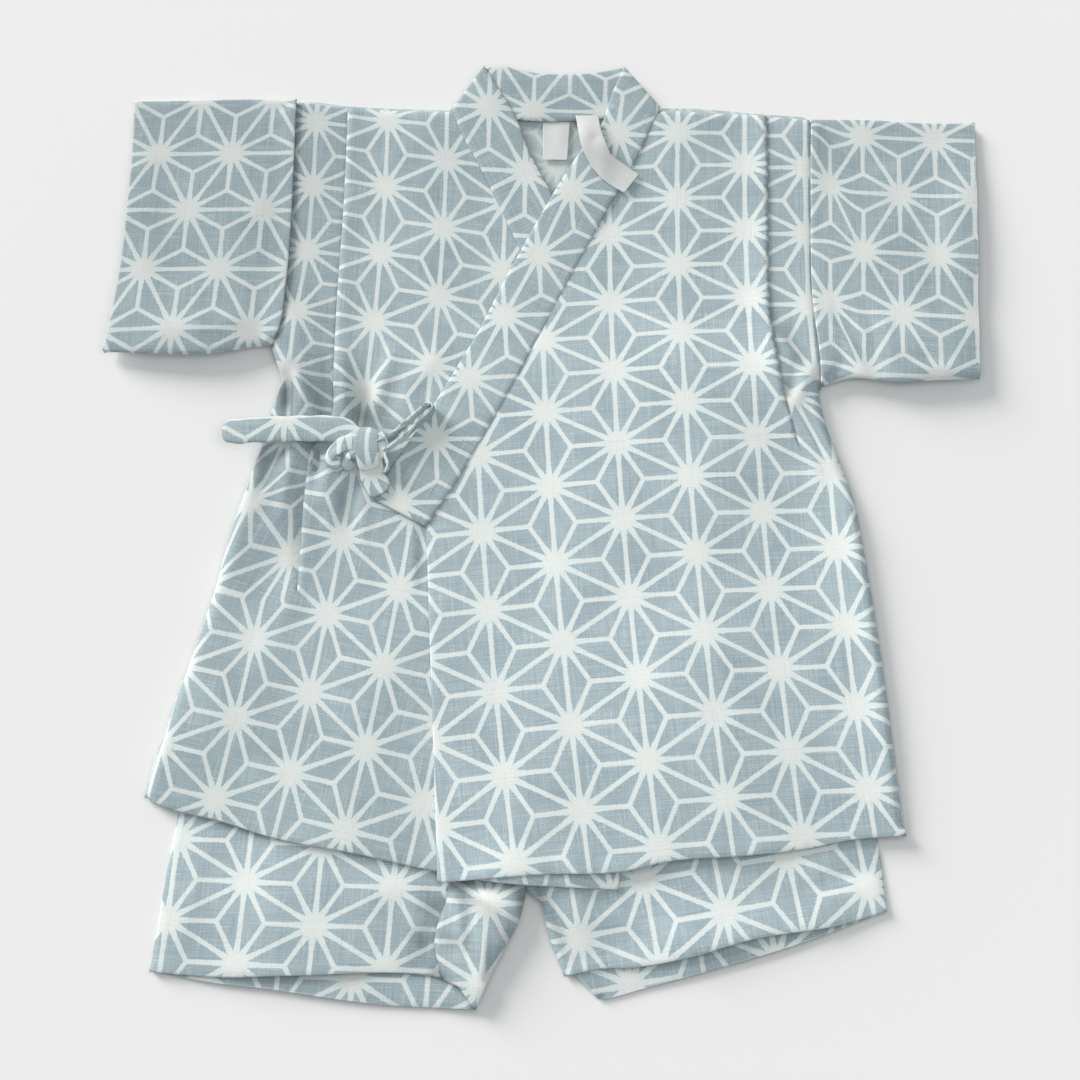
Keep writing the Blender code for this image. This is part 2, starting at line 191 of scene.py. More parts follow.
class Sheet:
    """A flat plan filled with points and triangles, ready to be given heights."""

    def __init__(self, outline, step=MESH_STEP, cut=None, seams=()):
        """cut is a line that the triangles keep to. seams are the edges that run on under the piece they are
        sewn to: (outward direction in degrees, lowest y) each."""
        self.line = rounded_plan(outline, step)
        self.find_outward()
        turned_in = self.edges_facing(seams, 30)
        self.line = self.line + self.outward * np.where(turned_in, SEAM_ALLOWANCE, 0)[:, None]
        low = self.line.min(0)
        high = self.line.max(0)
        rows = np.arange(low[1], high[1], step * 0.87)
        lattice = np.array([
            (x + (index % 2) * step / 2, y)
            for index, y in enumerate(rows) for x in np.arange(low[0], high[0], step)])
        lattice = lattice[is_inside(lattice, self.line)]
        gap = edge_distance(lattice, self.line)[0]
        fill = [lattice[gap > EDGE_RINGS[-1] + step * 0.45]]
        for ring in EDGE_RINGS:
            inner = self.line - self.outward * ring
            ring_gap = edge_distance(inner, self.line)[0]
            fill.append(inner[(ring_gap > ring * 0.93) & is_inside(inner, self.line)])
        points = np.concatenate([self.line, *fill])
        fixed = [(index, (index + 1) % len(self.line)) for index in range(len(self.line))]
        if cut is not None:
            keep = np.ones(len(points), bool)
            for start, end in zip(cut[:-1], cut[1:]):
                run = end - start
                share = np.clip(((points - start) @ run) / (run @ run), 0, 1)
                keep &= np.hypot(*(points - start - share[:, None] * run).T) > step * 0.4
            keep[:len(self.line)] = True
            points = points[keep]
            fixed += [(len(points) + index, len(points) + index + 1) for index in range(len(cut) - 1)]
            points = np.concatenate([points, cut])
        found = geometry.delaunay_2d_cdt([Vector(point) for point in points], fixed, [], 1, 1e-4)
        self.points = np.array([tuple(point) for point in found[0]])
        faces = np.array([face for face in found[2] if len(face) == 3])
        pairs = np.concatenate([faces[:, [0, 1]], faces[:, [1, 2]], faces[:, [2, 0]]])
        self.pairs = np.unique(np.sort(pairs, 1), axis=0)
        self.faces = self.upward(faces)
        self.gap, self.part = edge_distance(self.points, self.line)

    def upward(self, faces):
        """Turns each triangle so that it faces up, and leaves out those with no area."""
        a, b, c = (self.points[faces[:, i]] for i in range(3))
        area = (b - a)[:, 0] * (c - a)[:, 1] - (b - a)[:, 1] * (c - a)[:, 0]
        faces[area < 0] = faces[area < 0][:, ::-1]
        return faces[np.abs(area) > 1e-6]

    def find_outward(self):
        """The direction out of the plan at each point of the outline."""
        run = np.roll(self.line, -1, 0) - np.roll(self.line, 1, 0)
        self.outward = np.stack([run[:, 1], -run[:, 0]], 1) / np.maximum(np.hypot(*run.T), 1e-6)[:, None]

    def edges_facing(self, aims, spread):
        """Which points of the outline face one of several (direction in degrees, lowest y)."""
        found = np.zeros(len(self.line), bool)
        for direction, lowest in aims:
            aim = np.array([math.cos(math.radians(direction)), math.sin(math.radians(direction))])
            found |= (self.outward @ aim > math.cos(math.radians(spread))) & (self.line[:, 1] > lowest)
        return found

    def smoothed(self, values, rounds):
        """Evens out values over neighbouring points."""
        count = np.bincount(self.pairs.ravel(), minlength=len(self.points)).astype(float)
        values = values.copy()
        for _ in range(rounds):
            total = np.zeros_like(values)
            np.add.at(total, self.pairs[:, 0], values[self.pairs[:, 1]])
            np.add.at(total, self.pairs[:, 1], values[self.pairs[:, 0]])
            values += 0.8 * (total / np.maximum(count, 1) - values)
        return values

    def gap_to(self, aims):
        """Distance from each point to the edges that face one of several (direction, lowest y), else far."""
        return np.where(self.edges_facing(aims, HEM_SPREAD)[self.part], self.gap, FAR_FROM_HEM)


def floor_of(node, search=5):
    """A function that gives the height of a node's underside at a place, or the nearest one to it, looked for
    from the height search."""
    corners = []
    faces = []
    for triangle in floor_faces(node):
        faces.append(tuple(range(len(corners), len(corners) + len(triangle))))
        corners += triangle
    tree = BVHTree.FromPolygons(corners, faces)

    def height(x, y):
        hit = tree.ray_cast(Vector((x, y, -50)), Vector((0, 0, 1)))[0]
        return (hit or tree.find_nearest(Vector((x, y, search)))[0]).z

    return height


def resting_height(sheet, node, rounds=45):
    """The height of a node's underside below each point, with its facets smoothed away."""
    height_at = floor_of(node, search=2)
    return sheet.smoothed(np.array([height_at(x, y) for x, y in sheet.points]), rounds)


# ---------------------------------------------------------------- folds and creases

def soft_step(value):
    """0 to 1, eased at both ends."""
    value = np.clip(value, 0, 1)
    return value * value * (3 - 2 * value)


def crease(points, row):
    """The height that one crease adds. A row is (start x, y, end x, y, bow, left width, right width, height):
    the crease bows to its left, falls away over its two widths, and fades towards both its ends."""
    start_x, start_y, end_x, end_y, bow, left, right, height = row
    run = np.array([end_x - start_x, end_y - start_y], float)
    length = np.hypot(*run)
    run /= length
    offset = points - (start_x, start_y)
    share = offset @ run / length
    inside = np.clip(share, 0, 1)
    side = offset @ np.array([-run[1], run[0]]) - bow * 4 * inside * (1 - inside)
    width = np.where(side > 0, left, right)
    past = np.maximum(np.abs(share - 0.5) - 0.5, 0) * length
    spread = (side / width) ** 2 + (past / (left + right)) ** 2
    return height * np.exp(-spread) * (0.25 + 0.75 * np.sin(math.pi * np.clip(share, 0.04, 0.96)) ** 0.5)


def unevenness(points, size, seed):
    """A slow random swell between -1 and 1, the same on each run."""
    source = np.random.default_rng(seed)
    total = np.zeros(len(points))
    for _ in range(7):
        angle = source.uniform(0, 2 * math.pi)
        wave = 2 * math.pi / (size * source.uniform(0.7, 1.6))
        heading = np.array([math.cos(angle), math.sin(angle)])
        total += np.sin(points @ (heading * wave) + source.uniform(0, 6.28))
    return total / 4


def edge_roll(gap, reach, drop):
    """How far the cloth turns down at an edge."""
    near = np.clip(1 - gap / reach, 0, 1)
    return drop * (1 - np.sqrt(np.maximum(1 - near ** 2, 0)))


# ---------------------------------------------------------------- materials

class Shader:
    """A small helper for building a material from nodes."""

    def __init__(self, name):
        self.material = bpy.data.materials.new(name)
        self.material.use_nodes = True
        self.tree = self.material.node_tree
        self.surface = self.tree.nodes["Principled BSDF"]

    def node(self, kind, **settings):
        made = self.tree.nodes.new(kind)
        for key, value in settings.items():
            setattr(made, key, value)
        return made

    def link(self, source, target):
        """A number or a colour is set on the target; an output is linked to it."""
        if isinstance(source, (int, float, tuple)):
            target.default_value = source
        else:
            self.tree.links.new(source, target)

    def math(self, operation, first, second=0.0):
        made = self.node("ShaderNodeMath", operation=operation)
        self.link(first, made.inputs[0])
        self.link(second, made.inputs[1])
        return made.outputs[0]

    def plus(self, first, second):
        return self.math("ADD", first, second)

    def minus(self, first, second):
        return self.math("SUBTRACT", first, second)

    def times(self, first, second):
        return self.math("MULTIPLY", first, second)

    def divided(self, first, second):
        return self.math("DIVIDE", first, second)

    def mix(self, share, first, second):
        made = self.node("ShaderNodeMix", data_type="RGBA")
        self.link(share, made.inputs[0])
        self.link(first, made.inputs[6])
        self.link(second, made.inputs[7])
        return made.outputs[2]

    def ramp(self, value, low, high):
        """0 to 1 as the value goes from low to high, eased at both ends."""
        made = self.node("ShaderNodeMapRange", interpolation_type="SMOOTHSTEP")
        self.link(value, made.inputs[0])
        self.link(low, made.inputs[1])
        self.link(high, made.inputs[2])
        return made.outputs[0]

    def noise(self, place, stretch, scale, detail=2.0):
        """Noise on a place in millimetres; stretch makes it longer across or along the cloth."""
        spread = self.node("ShaderNodeVectorMath", operation="MULTIPLY")
        self.link(place, spread.inputs[0])
        spread.inputs[1].default_value = (*stretch, 1)
        made = self.node("ShaderNodeTexNoise")
        self.link(spread.outputs[0], made.inputs["Vector"])
        made.inputs["Scale"].default_value = scale
        made.inputs["Detail"].default_value = detail
        return made.outputs["Fac"]

    def cloth_place(self):
        """The cloth's own UV map, in millimetres."""
        cut = self.node("ShaderNodeUVMap", uv_map="cut")
        scaled = self.node("ShaderNodeVectorMath", operation="SCALE")
        self.link(cut.outputs[0], scaled.inputs[0])
        scaled.inputs["Scale"].default_value = 1 / MM
        return scaled.outputs[0]

    def mark(self, name):
        """A number that make_piece gives each point."""
        return self.node("ShaderNodeAttribute", attribute_name=name).outputs["Fac"]

    def relief(self, height, strength, depth):
        """Small relief on the surface, its depth in millimetres."""
        bump = self.node("ShaderNodeBump")
        bump.inputs["Strength"].default_value = strength
        bump.inputs["Distance"].default_value = depth * MM
        self.link(height, bump.inputs["Height"])
        self.link(bump.outputs[0], self.surface.inputs["Normal"])

    def finish(self, **settings):
        """Sets the surface's own sockets; an underscore stands for a space in a name."""
        for key, value in settings.items():
            self.surface.inputs[key.replace("_", " ")].default_value = value


GROUND = (0.450, 0.545, 0.570, 1)        # grey-blue dye
GROUND_DEEP = (0.300, 0.380, 0.405, 1)   # where the yarn is thick and took more dye
LINE = (0.725, 0.780, 0.757, 1)          # undyed lines
STAR = (0.765, 0.768, 0.733, 1)          # where the lines run together
LINE_WIDTH = 2.15
STAR_RADIUS = 5.0
BLOT = 9.2                               # how far the ragged edge of a star wanders, in all
THREAD = 0.55                            # between threads of the weave
TAPE_DIP = (0.63, 0.645, 0.63, 1)        # the white label tape, between its ribs
TAPE_RIB = (0.78, 0.785, 0.765, 1)       # and on them


def printed_cotton(name, strength=1.0, paleness=0.0):
    """Slub cotton with the hemp-leaf print, drawn from the cloth's own UV map in millimetres."""
    s = Shader(name)
    place = s.cloth_place()
    parts = s.node("ShaderNodeSeparateXYZ")
    s.link(place, parts.inputs[0])
    ragged_x = s.noise(place, (1, 1), 0.9)
    ragged_y = s.noise(place, (1.03, 0.97), 0.75)
    across = s.plus(parts.outputs[0], s.times(s.minus(ragged_x, 0.5), 0.9))
    along = s.plus(parts.outputs[1], s.times(s.minus(ragged_y, 0.5), 0.9))

    # each point's three shares in its triangle of stars
    column = s.divided(across, COLUMN_STEP)
    row = s.minus(s.divided(along, STAR_STEP), s.times(column, 0.5))
    first = s.math("FRACT", column)
    second = s.math("FRACT", row)
    both = s.plus(first, second)
    upper = s.math("GREATER_THAN", both, 1.0)
    one = s.math("ABSOLUTE", s.minus(both, 1.0))
    two = s.math("ABSOLUTE", s.minus(first, upper))
    three = s.math("ABSOLUTE", s.minus(second, upper))
    most = s.math("MAXIMUM", s.math("MAXIMUM", one, two), three)
    least = s.math("MINIMUM", s.math("MINIMUM", one, two), three)
    middle = s.minus(s.minus(1.0, most), least)

    to_long = s.times(least, COLUMN_STEP)
    sideways = s.times(s.minus(middle, least), STAR_STEP / 2)
    to_line = s.math("MINIMUM", to_long, sideways)
    outwards = s.times(s.minus(1.0, most), COLUMN_STEP)
    to_star = s.math("SQRT", s.plus(s.math("POWER", outwards, 2.0), s.math("POWER", sideways, 2.0)))
    swell = s.times(s.minus(s.noise(place, (1, 1), 0.11), 0.5), 0.7)
    half = s.plus(LINE_WIDTH / 2, s.times(swell, 0.4))
    near_star = s.minus(1.0, s.ramp(to_star, STAR_RADIUS, 13.0))
    half = s.plus(half, s.times(near_star, 0.42))
    line = s.minus(1.0, s.ramp(s.minus(to_line, half), -0.28, 0.28))
    blot = s.noise(place, (1, 1), 0.75, 4.0)
    radius = s.plus(STAR_RADIUS - BLOT / 2, s.times(blot, BLOT))
    star = s.minus(1.0, s.ramp(s.minus(to_star, radius), -0.9, 0.7))
    worn_star = s.times(s.ramp(blot, 0.60, 0.42), 0.45)
    star = s.times(star, s.minus(1.0, worn_star))

    # threads: thick and thin yarn both ways, and the weave itself
    weft = s.noise(place, (0.045, 1.9), 1.0, 3.0)
    warp = s.noise(place, (1.9, 0.045), 1.0, 3.0)
    slub = s.times(s.plus(weft, warp), 0.5)
    cloudy = s.noise(place, (1, 1), 0.045, 2.0)
    fleck = s.noise(place, (1, 1), 1.35, 1.0)
    patches = s.plus(s.times(cloudy, 0.25), s.times(fleck, 0.25))
    dye = s.plus(s.times(slub, 0.75), patches)
    ground = s.mix(s.ramp(dye, 0.48, 0.80), GROUND_DEEP, GROUND)
    ground = s.mix(s.times(s.ramp(slub, 0.56, 0.70), 0.40), ground, LINE)
    printed = s.mix(s.times(line, 0.93 * strength), ground, LINE)
    printed = s.mix(s.times(star, strength), printed, STAR)
    thin_yarn = s.times(s.ramp(s.minus(1.0, slub), 0.50, 0.64), 0.16)
    printed = s.mix(thin_yarn, printed, GROUND_DEEP)
    if paleness:
        printed = s.mix(paleness, printed, LINE)

    # the hem's edge is worn a little paler, and each point's colour is scaled by its painted light and shade,
    # with a little random grain
    worn = s.minus(1.0, s.ramp(s.mark("hem_gap"), 0.2, 1.1))
    printed = s.mix(s.times(worn, 0.35), printed, LINE)
    grain = s.noise(place, (1, 1), 1.6, 3.0)
    painted_light_level = s.times(s.mark("painted_light_level"), s.plus(0.90, s.times(grain, 0.25)))
    shaded = s.node("ShaderNodeVectorMath", operation="SCALE")
    s.link(printed, shaded.inputs[0])
    s.link(painted_light_level, shaded.inputs["Scale"])
    s.link(shaded.outputs[0], s.surface.inputs["Base Color"])

    turn = 2 * math.pi / THREAD
    over = s.math("SINE", s.times(parts.outputs[0], turn))
    under = s.math("SINE", s.times(parts.outputs[1], turn))
    weave = s.times(over, under)
    threads = s.plus(s.times(weave, 0.16), s.times(slub, 1.6))
    height = s.plus(threads, s.times(s.noise(place, (1, 1), 0.35, 2.0), 0.5))
    s.relief(height, 0.8, 0.2)
    s.finish(Roughness=0.92, Specular_IOR_Level=0.18, Sheen_Weight=0.06, Sheen_Roughness=0.6)
    return s.material


def white_tape(name):
    """Soft woven label tape, blank."""
    s = Shader(name)
    ribs = s.noise(s.cloth_place(), (0.2, 3.0), 1.0)
    s.link(s.mix(ribs, TAPE_DIP, TAPE_RIB), s.surface.inputs["Base Color"])
    s.relief(ribs, 0.3, 0.08)
    s.finish(Roughness=0.55, Sheen_Weight=0.1)
    return s.material


RIGHT_SIDE = printed_cotton("printed_cotton")
WRONG_SIDE = printed_cotton("printed_cotton_wrong_side", strength=0.75, paleness=0.42)
TAPE = white_tape("label_tape")


# ---------------------------------------------------------------- making pieces

# Where the whole garment stands off the surface, with air under it: rows as for the creases
AIR_UNDER = (
    (142, 66, 226, 64, 0, 34, 30, 6.5),         # under the arms
    (-226, 78, -140, 82, 0, 34, 30, 6.5),
    (226, 60, 222, 190, 0, 22, 22, 2.0),        # the left cuff
    (-10, -160, -26, -224, 0, 26, 22, 5.0),     # the inner legs
    (4, -160, 16, -216, 0, 14, 20, 3.0),
    (150, 40, 172, -130, 0, 16, 16, 2.4),       # the left side and its hem
    (40, -220, 150, -196, 0, 16, 16, 1.8),
    (-170, -226, -60, -232, 0, 14, 14, 1.8),
)


# Where a fold keeps the light out, in rows as for the creases; the last number is the share of light lost
SHADED = {
    "front_right": (
        (-131, 60, -127, 42, 0, 4.0, 5.0, 0.46),
        (-112, 64, -108, 42, 0, 4.5, 5.0, 0.38),
        (-92, 45, -86, 33, 0, 8.0, 7.0, 0.52),
        (-115, 27, -115, 12, 0, 4.0, 3.5, 0.40),
        (-119, 6, -121, -34, 0, 2.6, 2.6, 0.34),
        (-104, 10, -99, -10, 0, 4.5, 4.5, 0.18),
        (-62, -14, -61.5, -44, 0, 2.2, 1.6, 0.40),
        (-140, 20, -137, 0, 0, 5.5, 5.5, 0.22),
    ),
    "front_left": (
        (115, 88, 122, 73, 0, 6.5, 2.5, 0.28),
        (122, 73, 126, 64, 0, 3.5, 3.5, 0.24),
        (120, 60, 118, 46, 0, 3.0, 1.2, 0.20),
    ),
    "shorts_front_right": (
        (-46, -186, -51, -198, 0, 2.5, 7.0, 0.48),
        (-54, -203, -58, -210, 0, 5.0, 5.5, 0.44),
        (-51, -215, -44, -225, 0, 3.0, 4.0, 0.50),
        (-40, -179, -36, -187, 0, 4.5, 4.5, 0.50),
        (-14, -180, -8, -194, 0, 5.0, 4.0, 0.48),
        (-24, -196, -16, -204, 0, 4.0, 3.0, 0.24),
        (-30, -177, -12, -179, 0, 3.5, 3.5, 0.46),
    ),
    "shorts_front_left": (
        (-6, -178, 3, -200, 0, 4.0, 3.0, 0.46),
        (6, -178, 20, -181, 0, 3.0, 3.5, 0.26),
    ),
    "sleeve_left": (
        (159, 92, 161, 66, 0, 1.5, 3.0, 0.20),
    ),
    "collar_left": (
        (-78, 12, -82, -2, 0, 3.0, 3.0, 0.20),
    ),
}


def air_under(points):
    """How far the garment stands off the surface below each point."""
    height = np.zeros(len(points))
    for row in AIR_UNDER:
        height = np.maximum(height, crease(points, row))
    return height


def placed(name, data):
    """A new object in the scene."""
    made = bpy.data.objects.new(name, data)
    bpy.context.scene.collection.objects.link(made)
    return made


def write_marks(mesh, marks):
    """Gives each point the two numbers that printed_cotton reads: its distance from a hem, and its painted
    light and shade.
    """
    for name, values in zip(("hem_gap", "painted_light_level"), marks.T):
        mesh.attributes.new(name, "FLOAT", "POINT").data.foreach_set("value", values)


def plain_marks(count):
    """The marks of points that are far from any hem and are neither painted lighter nor darker."""
    return np.tile((FAR_FROM_HEM, 1.0), (count, 1))


def make_piece(name, points, heights, faces, cut, marks=None, wall=CLOTH, outside=RIGHT_SIDE,
               inside=WRONG_SIDE):
    """A sheet's points, heights and triangles become a thin piece of cloth with a wall below them. cut is the
    place on the printed cloth of each point, or of each triangle's corners in turn."""
    mesh = bpy.data.meshes.new(name)
    place = np.column_stack([points, heights + air_under(points)]) * MM
    mesh.from_pydata(place.tolist(), [], faces.tolist())
    uv = mesh.uv_layers.new(name="cut")
    corner_cut = cut[faces].reshape(-1, 2) if len(cut) == len(points) else cut
    uv.data.foreach_set("uv", (corner_cut * MM).ravel())
    marks = plain_marks(len(points)) if marks is None else marks.copy()
    # painted shade: where a fold keeps the light out, the colour is darkened
    for row in SHADED.get(name.removesuffix("_cloth"), ()):
        marks[:, 1] *= 1 - crease(points, row)
    write_marks(mesh, marks)
    mesh.materials.append(outside)
    mesh.materials.append(inside)
    mesh.shade_smooth()
    piece = placed(name, mesh)
    solid = piece.modifiers.new("wall", "SOLIDIFY")
    solid.thickness = wall * MM
    solid.offset = -1
    solid.material_offset = 1
    solid.use_rim = True
    bpy.context.view_layer.objects.active = piece
    bpy.ops.object.select_all(action="DESELECT")
    piece.select_set(True)
    bpy.ops.object.modifier_apply(modifier="wall")
    return piece


def declare(piece, node):
    """Hangs a laid sheet of cloth under the root body and hides its CAD node."""
    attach(piece, "root")
    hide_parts(node)


def lay_of(points, across, along):
    """Where the points of a panel lie on the printed cloth, from how the cloth's grain bends over the panel.
    across and along are (at the origin, by x, by y, by x*x, by x*y, by y*y), the last three per metre."""
    x, y = points.T
    terms = np.stack([np.ones_like(x), x, y, x * x * MM, x * y * MM, y * y * MM], 1)
    return np.stack([terms @ np.array(across), terms @ np.array(along)], 1)


def turned_lay(points, star, angle):
    """The print turned by an angle, with a star at a place."""
    c, s = math.cos(math.radians(angle)), math.sin(math.radians(angle))
    x, y = (points - star).T
    return np.stack([c * x + s * y, c * y - s * x], 1)


def hem_marks(sheet, hems, painted_light):
    """For the material: how far in from the nearest hem each point is, and its painted light, a level for its
    colour.
    """
    gap = sheet.gap_to([(direction, -999) for direction in hems])
    return np.stack([gap, np.full_like(gap, painted_light)], 1)


def closed_edge(sheet, heights, aims):
    """Brings the cloth down, in a round turn, where it is seamed to the piece below it."""
    near = np.clip(1 - sheet.gap_to(aims) / SEAM_REACH, 0, 1)
    return SEAM_LOW + (heights - SEAM_LOW) * np.sqrt(np.maximum(1 - near ** 2, 0))


# Creases: (start x, y, end x, y, bow, width on its left, on its right, height)
CREASES = {
    "front_right": (
        (-128, 66, -113, 36, 1.5, 2.4, 4.0, 3.4),   # gathers between the armhole and the tie
        (-119, 64, -108, 42, 0, 4.5, 4.0, -2.2),
        (-127, 59, -128, 42, 0, 2.6, 3.0, -2.6),
        (-122, 50, -121, 37, 0, 2.4, 2.4, 2.4),
        (-137, 48, -130, 38, 1, 3.0, 3.6, -1.5),
        (-132, 62, -137, 44, 1, 3.0, 2.0, 1.0),
        (-129, 92, -121, 62, 2, 4.0, 5.0, 1.2),
        (-110, 96, -109, 58, 1, 3.5, 5.0, -0.9),
        (-91, 36, -90, 56, 0, 4.0, 4.6, -2.2),      # gathers above the knot
        (-99, 36, -101, 66, -1, 3.4, 3.6, 2.3),
        (-84, 38, -78, 68, 1, 3.6, 4.0, 2.2),
        (-72, 42, -58, 66, 2, 4.0, 5.0, 0.9),
        (-111, 27, -114, 6, 0, 5.0, 3.0, -2.4),     # and below the tie
        (-106, 24, -108, -2, 1, 3.0, 3.6, 1.9),
        (-98, 12, -104, -12, -1, 3.5, 3.6, 1.7),
        (-93, 10, -94, -10, 0, 3.0, 3.4, -1.6),
        (-87, 8, -88, -22, -1, 4.0, 4.6, 0.9),
        (-122, 26, -127, -8, -1, 3.6, 4.0, 2.3),
        (-131, 26, -139, 0, 0, 2.8, 3.6, -2.2),
        (-140, 22, -137, 2, 1, 3.0, 4.6, -1.2),
        (-134, 6, -150, -34, -3, 4.0, 7.0, 1.3),
        (-119, -36, -124, -66, 0, 6.0, 5.0, 0.9),   # the tuck's fold goes on as a soft crease
        (-126, -52, -134, -100, -3, 9.0, 6.0, 0.8),
        (-140, -20, -164, -86, -3, 9.0, 7.0, 1.1),
        (-150, -70, -168, -130, 3, 12, 10, 0.9),
        (-60, 180, -66, 60, 4, 16, 12, 0.7),
        (-70, -60, -90, -150, -4, 18, 14, 0.6),
    ),
    "front_left": (
        (117, 84, 130, 74, 1, 4.0, 4.5, -1.3),      # the open end of the tuck
        (132, 66, 121, 46, 1, 3.0, 3.4, 1.6),
        (122, 62, 118, 44, 0, 2.6, 2.6, -1.2),
        (126, 52, 140, 22, 3, 3.6, 5.0, 1.3),
        (121, 40, 131, 6, 2, 4.0, 4.0, 0.9),
        (136, 44, 146, 16, -1, 3.0, 4.0, 0.9),
        (140, 10, 156, -60, 3, 7.0, 6.0, 1.0),
        (150, -60, 158, -140, 2, 8.0, 7.0, 0.9),
        (60, 160, 74, 40, -6, 20, 16, 0.7),
        (10, 60, 20, -70, 5, 24, 20, 0.6),
        (80, -40, 92, -160, -5, 22, 18, 0.7),
        (-44, -60, -30, -170, 3, 14, 12, 0.6),
        (104, 150, 100, 60, 3, 14, 10, 0.6),
    ),
    "shorts_front_right": (
        (-52, -183, -50, -201, 0, 4.0, 6.0, -1.3),  # the shade beside the fold in the leg
        (-62, -203, -50, -211, 0, 4.0, 4.0, -1.0),
        (-40, -188, -37, -206, 0, 2.8, 2.6, 2.6),
        (-33, -184, -16, -195, 1, 3.0, 3.2, 2.4),
        (-38, -178, -22, -182, 0, 2.6, 3.0, -2.4),
        (-44, -207, -34, -214, 1, 3.0, 3.0, -2.0),
        (-30, -198, -28, -222, 1, 3.4, 3.4, 2.0),
        (-120, -150, -128, -216, 2, 14, 12, 0.9),
        (-158, -170, -168, -214, 1, 6.0, 8.0, 0.9),
        (-90, -178, -62, -184, -3, 8.0, 7.0, 0.9),
    ),
    "shorts_front_left": (
        (0, -188, 6, -214, 0.5, 2.2, 2.6, 1.4),
        (-4, -184, 2, -206, 0, 1.8, 2.0, -1.2),
        (8, -180, 40, -188, 2, 5.0, 6.0, 1.2),
        (60, -170, 72, -212, -2, 14, 12, 0.8),
        (118, -160, 128, -200, 2, 12, 10, 0.8),
        (20, -196, 60, -206, 3, 6.0, 5.0, 0.9),
        (120, -184, 148, -176, 2, 4.0, 5.0, -0.8),
    ),
    "sleeve_right": (
        (-142, 84, -136, 78, 0, 2.4, 3.0, 1.2),     # the puckers under the arm
        (-150, 92, -190, 84, 2, 6.0, 7.0, 0.8),
        (-212, 190, -206, 110, 4, 7.0, 12, 1.0),
        (-160, 190, -170, 120, -4, 22, 18, 0.6),
        (-140, 200, -141, 110, 2, 5.0, 5.0, -0.5),
    ),
    "sleeve_left": (
        (146, 88, 161, 62, 1.5, 3.0, 3.0, -1.5),    # the fold from the armhole to the underarm seam
        (141, 88, 155, 66, 1, 3.4, 3.4, 0.9),
        (166, 92, 170, 64, 1, 3.6, 5.0, 0.8),
        (176, 60, 210, 62, 1, 3.0, 3.6, 0.8),
        (214, 170, 206, 90, -3, 10, 8.0, 1.0),
        (166, 178, 176, 104, 4, 22, 18, 0.6),
    ),
}


def folded(name, sheet, heights, swell=0.35):
    """Adds a piece's creases, and the unevenness of cloth that has been worn and laid out by hand."""
    for row in CREASES.get(name, ()):
        heights = heights + crease(sheet.points, row)
    slow = unevenness(sheet.points, 70, len(name))
    quick = unevenness(sheet.points, 22, len(name) + 5)
    return heights + swell * slow + 0.12 * quick


def panel(name, cut_of, hems, step=MESH_STEP, seams=(), closed=(), painted_light=1.0,
          outside=RIGHT_SIDE, inside=WRONG_SIDE):
    """One flat panel of cloth on its CAD node. hems are the directions in degrees that its hems face; closed
    are the edges that are sewn to the piece below."""
    sheet = Sheet(plan_of(name), step, seams=seams)
    heights = folded(name, sheet, resting_height(sheet, name)) + CLOTH + LAYER_AIR
    heights -= edge_roll(sheet.gap, EDGE_REACH, EDGE_DROP)
    heights = np.maximum(closed_edge(sheet, heights, closed), CLOTH + 0.02)
    piece = make_piece(
        name + "_cloth", sheet.points, heights, sheet.faces, cut_of(sheet.points),
        # painted light and shade: the whole piece's colour is scaled by a given level
        hem_marks(sheet, hems, painted_light), outside=outside, inside=inside)
    declare(piece, name)
    return piece


